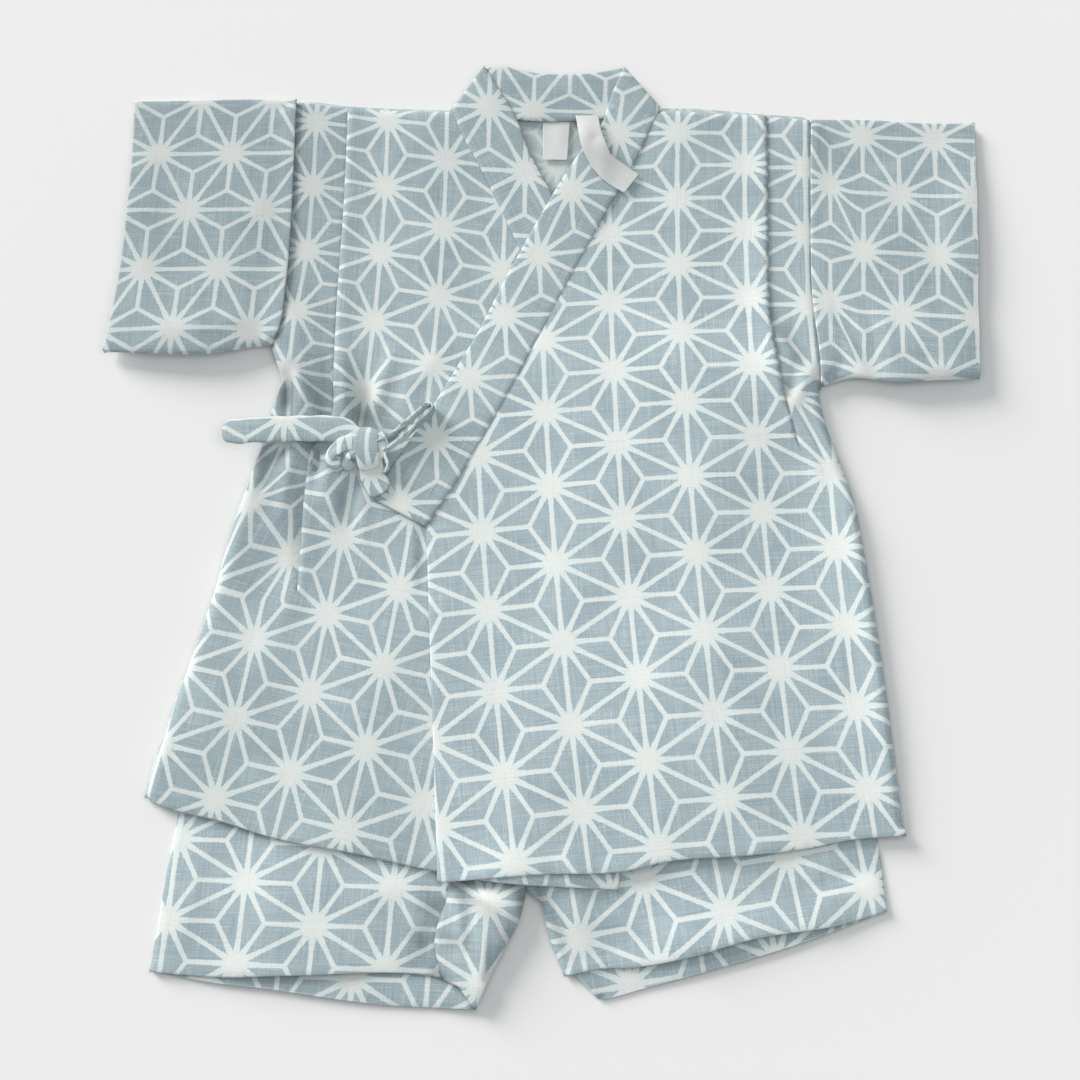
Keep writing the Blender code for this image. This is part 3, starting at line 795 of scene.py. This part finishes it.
def tucked_panel(name, fold, side, rise, hidden, cut_of, hems, seams=(), closed=(),
                 painted_light=1.0, strip_painted_light=1.0):
    """A panel with a fold down it, such as a front's shoulder tuck: the main cloth lies over the strip beside
    it. side is -1 where the strip is on the fold's left and 1 on its right. rise is how far the main cloth
    stands up along the fold, as (y, height); hidden is the cloth that the fold takes up, as (y, across,
    along)."""
    fold = rounded_open(np.array(fold, float), parts_of(MESH_STEP))
    sheet = Sheet(plan_of(name), MESH_STEP, cut=fold, seams=seams)
    points = sheet.points
    low_end = fold[-1, 1]
    rise = np.array(rise, float)
    hidden = np.array(hidden, float)

    def past_fold(places):
        return (places[:, 0] - np.interp(places[:, 1], fold[::-1, 1], fold[::-1, 0])) * side

    def risen_at(places):
        return np.interp(places[:, 1], rise[:, 0], rise[:, 1])

    def taken_up(places):
        return np.stack([np.interp(places[:, 1], hidden[:, 0], hidden[:, i]) for i in (1, 2)], 1)

    beyond = past_fold(points)
    middle = points[sheet.faces].mean(1)
    strip_face = (past_fold(middle) > 0) & (middle[:, 1] > low_end)
    # the cloth parts along the fold where the fold stands up or takes up cloth, and is whole below it
    is_open = (risen_at(points) > 0.25) | (np.hypot(*taken_up(points).T) > 3)
    on_fold = np.where((np.abs(beyond) < 0.05) & (points[:, 1] > low_end + 0.5) & is_open)[0]
    twin = np.arange(len(points))
    twin[on_fold] = len(points) + np.arange(len(on_fold))
    faces = sheet.faces.copy()
    faces[strip_face] = twin[faces[strip_face]]
    is_strip = np.concatenate([(beyond > 0.05) & (points[:, 1] > low_end), np.ones(len(on_fold), bool)])
    heights = folded(name, sheet, resting_height(sheet, name))
    heights += CLOTH + LAYER_AIR - edge_roll(sheet.gap, EDGE_REACH, EDGE_DROP)
    heights = closed_edge(sheet, heights, closed)
    points = np.concatenate([points, points[on_fold]])
    heights = np.concatenate([heights, heights[on_fold]])
    beyond = np.concatenate([beyond, np.zeros(len(on_fold))])
    risen = risen_at(points)
    share = np.clip(risen, 0, 1)
    from_fold = np.maximum(-beyond, 0)
    lifted = risen * np.exp(-(from_fold / FOLD_SPREAD) ** 2) - edge_roll(from_fold, 1.0, 0.5) * share
    heights = np.where(is_strip, heights, heights + lifted)
    cut = cut_of(points)
    cut = np.where(is_strip[:, None], cut + taken_up(points), cut)
    tucked_under = is_strip & (np.abs(beyond) < 0.05)
    points[tucked_under, 0] -= side * TUCKED_IN * share[tucked_under]
    cut[tucked_under, 0] -= side * TUCKED_IN * share[tucked_under]
    # painted light and shade: the main cloth's colour and the strip's are each scaled by a given level, the
    # strip's fading in from the fold's low end
    marks = hem_marks(sheet, hems, painted_light)
    marks = np.concatenate([marks, marks[on_fold]])
    marks[is_strip, 1] += (strip_painted_light - painted_light) * np.clip((points[is_strip, 1] - low_end) / 40, 0, 1)
    piece = make_piece(name + "_cloth", points, heights, faces, cut, marks)
    declare(piece, name)


def sleeve(name, cut_of, top_line, cuff, front_edge):
    """A sleeve pressed flat: its front and back are one cloth, folded along the top and seamed under the arm.
    cuff is the direction that its open end faces; front_edge is how high its front is at the armhole."""
    sheet = Sheet(plan_of(name, top=0.6))
    points = sheet.points
    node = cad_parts[name].data
    corners = [vertex.co / MM for vertex in node.vertices]
    tree = BVHTree.FromPolygons(corners, [tuple(face.vertices) for face in node.polygons])
    heights = np.zeros(len(points))
    for index, (x, y) in enumerate(points):
        hit = tree.ray_cast(Vector((x, y, 50)), Vector((0, 0, -1)))[0]
        heights[index] = hit.z if hit else 2.4
    heights = sheet.smoothed(heights, 45)
    heights = folded(name, sheet, heights, swell=0.25)
    fold_gap = sheet.gap_to([(90, -999), (-90, -999)])
    armhole_gap = sheet.gap_to([(180 - cuff, -999)])
    heights -= (heights - front_edge) * np.exp(-(armhole_gap / 9) ** 2) + edge_roll(armhole_gap, 1.2, 0.45)
    middle = 1.15       # the height where front and back meet, at the top fold and the underarm seam
    keep = 1 - edge_roll(fold_gap, 1.6, 1.0)
    front = middle + (np.maximum(heights, 1.9) - middle) * keep
    back = middle - (middle - CLOTH - 0.03) * keep
    on_edge = (sheet.gap < 0.02) & (fold_gap < 50)
    count = len(points)
    back_index = np.where(on_edge, np.arange(count), count + np.cumsum(~on_edge) - 1)
    both_points = np.concatenate([points, points[~on_edge]])
    both_heights = np.concatenate([front, (back - CLOTH)[~on_edge]])
    faces = np.concatenate([sheet.faces, back_index[sheet.faces][:, ::-1]])
    flat_cut = cut_of(points)
    (left_x, left_y), (right_x, right_y) = top_line
    over_top = np.stack([points[:, 0], np.interp(points[:, 0], (left_x, right_x), (left_y, right_y))], 1)
    back_cut = flat_cut.copy()
    back_cut[:, 0] = 2 * cut_of(over_top)[:, 0] - flat_cut[:, 0]
    corner_cut = np.concatenate([flat_cut[sheet.faces], back_cut[sheet.faces[:, ::-1]]]).reshape(-1, 2)
    # painted shade: the sleeve's colour is darkened a little
    marks = hem_marks(sheet, (cuff,), SLEEVE_PAINTED_SHADE)
    marks = np.concatenate([marks, marks[~on_edge]])
    piece = make_piece(name + "_cloth", both_points, both_heights, faces, corner_cut, marks)
    declare(piece, name)


def band(name, cut_of):
    """A stretch of the collar's folded band: padded by its own turnings, with rolled edges."""
    sheet = Sheet(plan_of(name), 1.8)
    heights = folded(name, sheet, resting_height(sheet, name, 60), 0.15) + BAND + 0.1
    heights += 0.35 * (1 - np.exp(-sheet.gap / 5.0))
    heights -= edge_roll(sheet.gap, 1.3, 0.9)
    piece = make_piece(
        name + "_cloth", sheet.points, heights, sheet.faces, cut_of(sheet.points), wall=BAND * 0.7,
        inside=RIGHT_SIDE)
    declare(piece, name)


def band_lay(stars, across=1.0):
    """How the print lies on a band, from where its stars fall down the middle of it; across is the print's
    share of its usual width."""
    stars = np.array(stars, float)
    first, last = stars[0] - stars[1], stars[-1] - stars[-2]
    stars = np.vstack([
        stars[0] + 2 * first, stars[0] + first, stars, stars[-1] + last, stars[-1] + 2 * last])
    line = rounded_open(stars, parts_of(1.5))
    travelled = np.concatenate([[0], np.cumsum(np.hypot(*np.diff(line, axis=0).T))])
    at_stars = [travelled[np.argmin(np.hypot(*(line - star).T))] for star in stars]
    stars_passed = np.interp(travelled, at_stars, np.arange(len(stars)) - 2)
    run = np.diff(line, axis=0)
    length = np.hypot(*run.T)

    def cut_of(points):
        offset = points[:, None] - line[:-1]
        share = np.clip((offset * run).sum(2) / length ** 2, 0, 1)
        offset -= share[..., None] * run
        nearest = np.argmin((offset ** 2).sum(2), axis=1)
        rows = np.arange(len(points))
        share = share[rows, nearest]
        offset = offset[rows, nearest]
        side = (offset[:, 0] * run[nearest, 1] - offset[:, 1] * run[nearest, 0]) / length[nearest]
        along = stars_passed[nearest] * (1 - share) + stars_passed[nearest + 1] * share
        return np.stack([side * across, along * STAR_STEP], 1)

    return cut_of


# ---------------------------------------------------------------- ties and labels

def ribbon(name, rows, thick, star, blunt=(1.0, 1.0), section=20):
    """A sewn tie: a flat tube swept through rows of (x, y, z, width, tilt in degrees, 0 lying flat).
    blunt gives how long the rounding of its start and of its end is, as a share of the width."""
    rows = rounded_open(np.array(rows, float), lambda start, end: 10)
    path = rows[:, :3]
    travelled = np.concatenate([[0], np.cumsum(np.hypot(*np.diff(path[:, :2], axis=0).T))])
    total = travelled[-1]
    points = []
    cut = []
    for index, row in enumerate(rows):
        ahead = path[min(index + 1, len(path) - 1)] - path[max(index - 1, 0)]
        ahead /= np.linalg.norm(ahead)
        level = np.cross((0, 0, 1), ahead)
        level /= max(np.linalg.norm(level), 1e-6)
        up = np.cross(ahead, level)
        tilt = math.radians(row[4])
        wide = level * math.cos(tilt) + up * math.sin(tilt)
        deep = up * math.cos(tilt) - level * math.sin(tilt)
        near_start = travelled[index] / (row[3] * blunt[0] + 1e-6)
        near_end = (total - travelled[index]) / (row[3] * blunt[1] + 1e-6)
        near = min(near_start, near_end, 1.0)
        full = math.sqrt(max(1 - (1 - near) ** 2, 0.0004))
        for side in range(section):
            angle = 2 * math.pi * side / section
            flat_x = math.copysign(abs(math.cos(angle)) ** 0.6, math.cos(angle))
            flat_y = math.copysign(abs(math.sin(angle)) ** 0.7, math.sin(angle))
            edge_wave = 1 + 0.04 * math.sin(travelled[index] * 0.55 + side)
            points.append(path[index] + wide * flat_x * row[3] / 2 * full * edge_wave
                          + deep * flat_y * thick / 2 * (0.55 + 0.45 * full))
            cut.append((flat_x * row[3] / 2 + star[0], travelled[index] + star[1]))
    count = len(rows)
    faces = []
    for index in range(count - 1):
        for side in range(section):
            after = (side + 1) % section
            a = index * section + side
            b = index * section + after
            faces.append((a, b, b + section, a + section))
    points += [path[0], path[-1]]
    cut += [(star[0], star[1]), (star[0], total + star[1])]
    for side in range(section):
        after = (side + 1) % section
        faces.append((len(points) - 2, after, side))
        faces.append((len(points) - 1, (count - 1) * section + side, (count - 1) * section + after))
    mesh = bpy.data.meshes.new(name)
    mesh.from_pydata((np.array(points) * MM).tolist(), [], faces)
    uv = mesh.uv_layers.new(name="cut")
    for loop in mesh.loops:
        uv.data[loop.index].uv = (cut[loop.vertex_index][0] * MM, cut[loop.vertex_index][1] * MM)
    write_marks(mesh, plain_marks(len(points)))
    mesh.materials.append(RIGHT_SIDE)
    mesh.shade_smooth()
    shape = bmesh.new()
    shape.from_mesh(mesh)
    bmesh.ops.recalc_face_normals(shape, faces=shape.faces)
    shape.to_mesh(mesh)
    shape.free()
    return placed(name, mesh)


def joined(name, parts):
    """Several pieces become one."""
    bpy.ops.object.select_all(action="DESELECT")
    for part in parts:
        part.select_set(True)
    bpy.context.view_layer.objects.active = parts[0]
    bpy.ops.object.join()
    parts[0].name = name
    return parts[0]


# ---------------------------------------------------------------- the set

def build_shorts():
    def right_leg(points):
        return lay_of(points, (186.7, 0.977, -0.069, 0, 0, 0), (237.9, 0.035, 1.079, 0, 0, 0))

    def left_leg(points):
        return turned_lay(points, (15, -204), 9.7)

    for name, lay in (("shorts_back_right", right_leg), ("shorts_back_left", left_leg)):
        panel(
            name, lambda points, lay=lay: lay(points) + (14.0, 5.0), (-90, -100, -75),
            step=COARSE_STEP)
    # the inner leg is pushed up in a fold, which lies over the rest of the leg
    # painted light: the rest of the right front leg beside the fold, and the left front leg, are given a
    # lighter colour
    tucked_panel(
        "shorts_front_right",
        ((-47, -150), (-44.5, -184), (-48, -196), (-50, -207), (-47.5, -217), (-43, -229)),
        -1, ((-229, 0.9), (-205, 2.0), (-190, 1.6), (-176, 0)),
        ((-229, -23.3, -4.9), (-184, -23.3, -4.9), (-150, -23.3, -4.9)),
        lambda points: right_leg(points) + (23.3, 4.9), (-90, -80),
        closed=((175, -999), (10, -225), (-35, -225)), strip_painted_light=1.14)
    panel(
        "shorts_front_left", left_leg, (-90, -70),
        closed=((10, -999), (190, -999), (225, -999)), painted_light=1.08)


def build_jacket():
    back = panel(
        "jacket_back", lambda points: turned_lay(points, (5.3, 178.2), 1.0),
        (-90,),
        step=3.4, seams=((90, 190),),
        outside=WRONG_SIDE, inside=RIGHT_SIDE)
    # painted light and shade: the fronts' colours are made a little lighter, and the strip beside the right
    # front's tuck darker
    tucked_panel(
        "front_right",
        ((-105, 217), (-105, 157), (-106, 101), (-105.5, 60), (-105, 43), (-109, 33), (-114.5, 24),
         (-116.5, 10), (-117.5, -8), (-118, -30), (-118.5, -52)),
        -1, ((-52, 0), (-30, 1.0), (24, 1.5), (45, 2.1), (110, 1.6), (217, 1.5)),
        ((-52, 0, 0), (-37, -6.5, -5), (-3, -17, -10.5), (29, -29, -7.5), (63, -25, -4), (95, -24, 1.4),
         (129, -26, 4.2), (203, -26, 5)),
        lambda points: lay_of(
            points, (165, 1.039, -0.122, 0, 0.065, 0.329), (40.2, 0.187, 0.974, 0, -0.234, 0.041)),
        (-90, -100),
        seams=((180, 77), (25, -2)), closed=((190, -999), (165, -999), (90, 190)), painted_light=1.02, strip_painted_light=0.91)
    tucked_panel(
        "front_left",
        ((115.5, 207), (114, 155), (112, 100), (113.5, 73), (116.5, 52), (120.5, 34), (125, 16)),
        1, ((16, 0), (47, 1.2), (75, 2.2), (110, 1.9), (207, 1.4)),
        ((16, 0, 0), (30, 6, -3), (50, 15.5, -2.5), (60, 36, 7), (97, 36.5, 5), (136, 36, 2.4),
         (172, 36, 1.5)),
        lambda points: lay_of(
            points, (63.9, 0.967, 0.062, 0.044, -0.184, -0.217), (35, -0.085, 0.998, 0.22, 0.15, 0.06)),
        (-90, -80),
        seams=((0, 54), (150, -17)), closed=((0, -999), (15, -999), (90, 190)), painted_light=1.05, strip_painted_light=1.04)
    sleeve(
        "sleeve_right",
        lambda points: lay_of(points, (-183.5, -0.003, 0.992, 0, 0, 0), (206.2, 0.986, -0.031, 0, 0, 0)),
        ((-219, 217), (-132, 216)), 180, 4.2)

    def left_sleeve_lay(points):
        # close to its seam the cloth is drawn up towards the shoulder
        drawn = 1 - soft_step((points[:, 0] - 141) / 18)
        even = lay_of(points, (-201.2, 0.069, 0.989, 0, 0, 0), (-155.9, 1.023, -0.065, 0, 0, 0))
        return even - np.stack([5.0 * drawn, 2.4 * drawn], 1)

    sleeve("sleeve_left", left_sleeve_lay, ((136, 203), (223, 199)), 0, 4.2)


def build_collar():
    band("collar_neck", band_lay(((-7, 208), (30.5, 206.5)), 1.17))
    band(
        "collar_right", band_lay(((-30, 209), (-11, 172), (8, 135), (26, 101), (44, 67))))
    band(
        "collar_left",
        band_lay(((37, 193), (13, 160), (-4, 125), (-21, 92), (-38, 58), (-54, 27), (-71, -5))))


def build_ties():
    under_tail = floor_of("tie_tail")
    base = max(under_tail(-140, 31), under_tail(-110, 31), under_tail(-100, 31)) + 1.3
    tail = ribbon("tie_tail_cloth", (
        (-80, 22.5, base + 1.2, 6, 0),
        (-87, 24.2, base + 1.6, 8, -3),
        (-94, 27.6, base + 1.7, 10.6, -5),
        (-102, 31.0, base + 1.4, 12.8, -4),
        (-122, 31.6, base + 0.6, 13.0, 0),
        (-140, 31.2, base + 0.2, 13.0, 3),
        (-150, 30.6, base, 13.2, 8),
        (-158.5, 30.8, base + 0.3, 12.6, 14),
    ), 2.2, (6.6, -11.5), (0.3, 0.30))
    declare(tail, "tie_tail")

    under_knot = floor_of("tie_knot")
    low = under_knot(-88, 24)
    body = ribbon("knot_body", (
        (-99, 21, low + 1.0, 8, 0),
        (-94, 21.5, low + 1.7, 12, 0),
        (-86, 22, low + 2.1, 15, 0),
        (-79.5, 21.5, low + 1.6, 12, 0),
        (-76, 21, low + 1.6, 9, 0),
    ), 4.0, (4.0, 21.0), (0.4, 0.35))
    wrap = ribbon("knot_wrap", (
        (-84.5, 10.5, low + 1.2, 9.6, -4),
        (-85.5, 14, low + 3.0, 10.8, -4),
        (-86.3, 19, low + 4.1, 11.4, 0),
        (-86.6, 24, low + 4.2, 11.6, 4),
        (-86.2, 28.4, low + 3.4, 11.2, 4),
        (-85.8, 31.6, low + 1.4, 10.4, 0),
    ), 1.5, (0.0, 4.0), (0.15, 0.25))
    petal = ribbon("knot_petal", (
        (-89, 23.5, low + 2.6, 7.5, -8),
        (-94, 23.6, low + 3.3, 8.0, -4),
        (-99.5, 22.0, low + 3.2, 7.6, 8),
        (-103.6, 18.6, low + 2.3, 6.6, 22),
        (-103.6, 14.6, low + 1.4, 5.4, 14),
        (-99.5, 12.8, low + 1.0, 5.0, 6),
    ), 1.3, (9.0, -6.0), (0.2, 0.35))
    fold = ribbon("knot_fold", (
        (-92, 21, low + 2.6, 6.0, 20),
        (-96.0, 18.0, low + 2.6, 6.4, 30),
        (-96.4, 14.0, low + 2.0, 5.8, 26),
        (-93.2, 10.8, low + 1.4, 4.6, 16),
    ), 1.4, (12.0, 2.0), (0.25, 0.35))
    crumple = ribbon("knot_crumple", (
        (-81.5, 28, low + 3.0, 4.4, 30),
        (-78.4, 25.4, low + 3.0, 4.6, 58),
        (-76.4, 21.0, low + 2.6, 4.6, 72),
        (-78.0, 17.0, low + 2.3, 4.4, 60),
        (-76.4, 12.6, low + 1.8, 4.2, 68),
        (-78.0, 9.0, low + 1.2, 4.4, 50),
    ), 1.4, (9.0, 4.0), (0.3, 0.4))
    knot = joined("tie_knot_cloth", [body, wrap, petal, fold, crumple])
    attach(knot, "root")
    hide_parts("tie_knot")

    shelf = floor_of("tie_loop")(-65, 33)
    loop = ribbon("tie_loop_cloth", (
        (-83, 23.5, low + 2.6, 5.5, 84),
        (-77, 25.6, shelf + 3.6, 6.5, 84),
        (-69.5, 32.4, shelf + 3.8, 6.8, 86),
        (-62, 39.6, shelf + 3.8, 6.8, 90),
        (-57.6, 43.2, shelf + 3.7, 6.6, 92),
        (-55.2, 42.4, shelf + 3.7, 6.4, 92),
        (-56.0, 39.2, shelf + 3.7, 6.6, 92),
        (-62, 33.6, shelf + 3.7, 6.8, 90),
        (-69.5, 26.6, shelf + 3.6, 6.6, 88),
        (-79, 19.0, low + 2.4, 5.5, 84),
    ), 1.5, (3.0, 14.0), (0.25, 0.25), 24)
    declare(loop, "tie_loop")

    ledge = floor_of("tie_end")(-90, 10)
    root = ribbon("tie_end_cloth", (
        (-85.5, 17, low + 1.8, 11.0, -4),
        (-84.5, 11, ledge + 1.8, 12.0, -4),
        (-82.5, 5, ledge + 1.1, 12.0, 0),
        (-79, -1, ledge + 0.9, 11.0, 2),
    ), 1.6, (0.0, 33.0), (0.2, 0.2))
    declare(root, "tie_end")


def build_labels():
    for name, flat in (("label_size", (0.0145, 0.0225)), ("label_care", (0.0135, 0.046))):
        sheet = Sheet(plan_of(name), 1.2)
        heights = resting_height(sheet, name, 25) + 0.8
        if name == "label_care":
            # it curls up between its seam and the end that lies on the collar
            heights += 2.6 * np.exp(-((np.hypot(*(sheet.points - (25, 188)).T) - 4) / 10) ** 2)
        heights += 0.2 * unevenness(sheet.points, 14, 3)
        piece = make_piece(
            name + "_tape", sheet.points, heights, sheet.faces, sheet.points, wall=0.25, outside=TAPE,
            inside=TAPE)
        declare(piece, name)


# ---------------------------------------------------------------- camera, light and floor

CAMERA_TURN = 4.604                  # degrees about the upright
CAMERA_TILT = 11.874                 # degrees from straight down
CAMERA_AIM = (-3, -23, 5)            # millimetres
CAMERA_REACH = 0.51585               # metres from there
CAMERA_LENS = 35.79
LAMP_PLACE = (0.055, -0.04, 0.40)    # over the middle of the jacket, in metres
LAMP_SHARE = 0.32                    # of the light that falls straight below it
FLOOR_TONE = 0.79
FLOOR_BALANCE = (1.012, 1.0, 0.985)
SUN_ENERGY = 3.6
SUN_COLOUR = (1.0, 0.985, 0.965)
SUN_SPREAD = 26                      # degrees, as wide as a window with a thin curtain
SUN_HEADING = (0.68, -0.64, -0.34)
ROOM_COLOUR = (0.92, 0.985, 1.02, 1)
ROOM_LIGHT = 0.38


def place_camera():
    turn = Matrix.Rotation(math.radians(CAMERA_TURN), 3, "Z")
    tilt = math.radians(CAMERA_TILT)
    level = turn @ Vector((1, 0, 0))
    away = turn @ Vector((0, math.cos(tilt), math.sin(tilt)))
    ahead = turn @ Vector((0, math.sin(tilt), -math.cos(tilt)))
    # the view is rolled back by as much, so that the garment stands upright in it
    cosine, sine = turn[0][0], turn[1][0]
    right = cosine * level - sine * away
    up = sine * level + cosine * away
    camera = placed("camera", bpy.data.cameras.new("camera"))
    place = Vector(CAMERA_AIM) * MM - ahead * CAMERA_REACH
    camera.matrix_world = Matrix((
        (right.x, up.x, -ahead.x, place.x),
        (right.y, up.y, -ahead.y, place.y),
        (right.z, up.z, -ahead.z, place.z),
        (0, 0, 0, 1)))
    camera.data.lens = CAMERA_LENS
    camera.data.clip_start = 0.01
    bpy.context.scene.camera = camera


def place_floor():
    bpy.ops.mesh.primitive_plane_add(size=6)
    floor = bpy.context.object
    floor.name = "floor"
    # a little lighter away from the lamp, so that the backdrop is even
    s = Shader("backdrop")
    spot = s.node("ShaderNodeTexCoord")
    away = s.node("ShaderNodeVectorMath", operation="DISTANCE")
    s.link(spot.outputs["Object"], away.inputs[0])
    away.inputs[1].default_value = (LAMP_PLACE[0], LAMP_PLACE[1], 0)
    slant = s.math("POWER", s.divided(away.outputs["Value"], LAMP_PLACE[2]), 2.0)
    fall_off = s.math("POWER", s.plus(1.0, slant), -1.5)
    evened = LAMP_SHARE / 1.05
    lit = s.plus(1 - evened, s.times(fall_off, evened))
    tint = s.node("ShaderNodeCombineColor")
    for socket, balance in zip(tint.inputs, FLOOR_BALANCE):
        s.link(s.divided(FLOOR_TONE * balance, lit), socket)
    s.link(tint.outputs[0], s.surface.inputs["Base Color"])
    s.finish(Roughness=1, Specular_IOR_Level=0)
    floor.data.materials.append(s.material)


def place_lights():
    sun = placed("window", bpy.data.lights.new("window", "SUN"))
    sun.data.energy = SUN_ENERGY
    sun.data.color = SUN_COLOUR
    sun.data.angle = math.radians(SUN_SPREAD)
    sun.rotation_euler = Vector(SUN_HEADING).to_track_quat("-Z", "Y").to_euler()
    lamp = placed("lamp", bpy.data.lights.new("lamp", "POINT"))
    lamp.location = LAMP_PLACE
    lamp.data.energy = 4 * math.pi * LAMP_SHARE * LAMP_PLACE[2] ** 2 * math.pi
    lamp.data.shadow_soft_size = 0.16
    world = bpy.data.worlds.new("room")
    bpy.context.scene.world = world
    world.use_nodes = True
    sky = world.node_tree.nodes["Background"].inputs
    sky["Color"].default_value = ROOM_COLOUR
    sky["Strength"].default_value = ROOM_LIGHT


bpy.context.scene.view_settings.view_transform = "Standard"
place_camera()
place_floor()
place_lights()
build_shorts()
build_jacket()
build_collar()
build_ties()
build_labels()
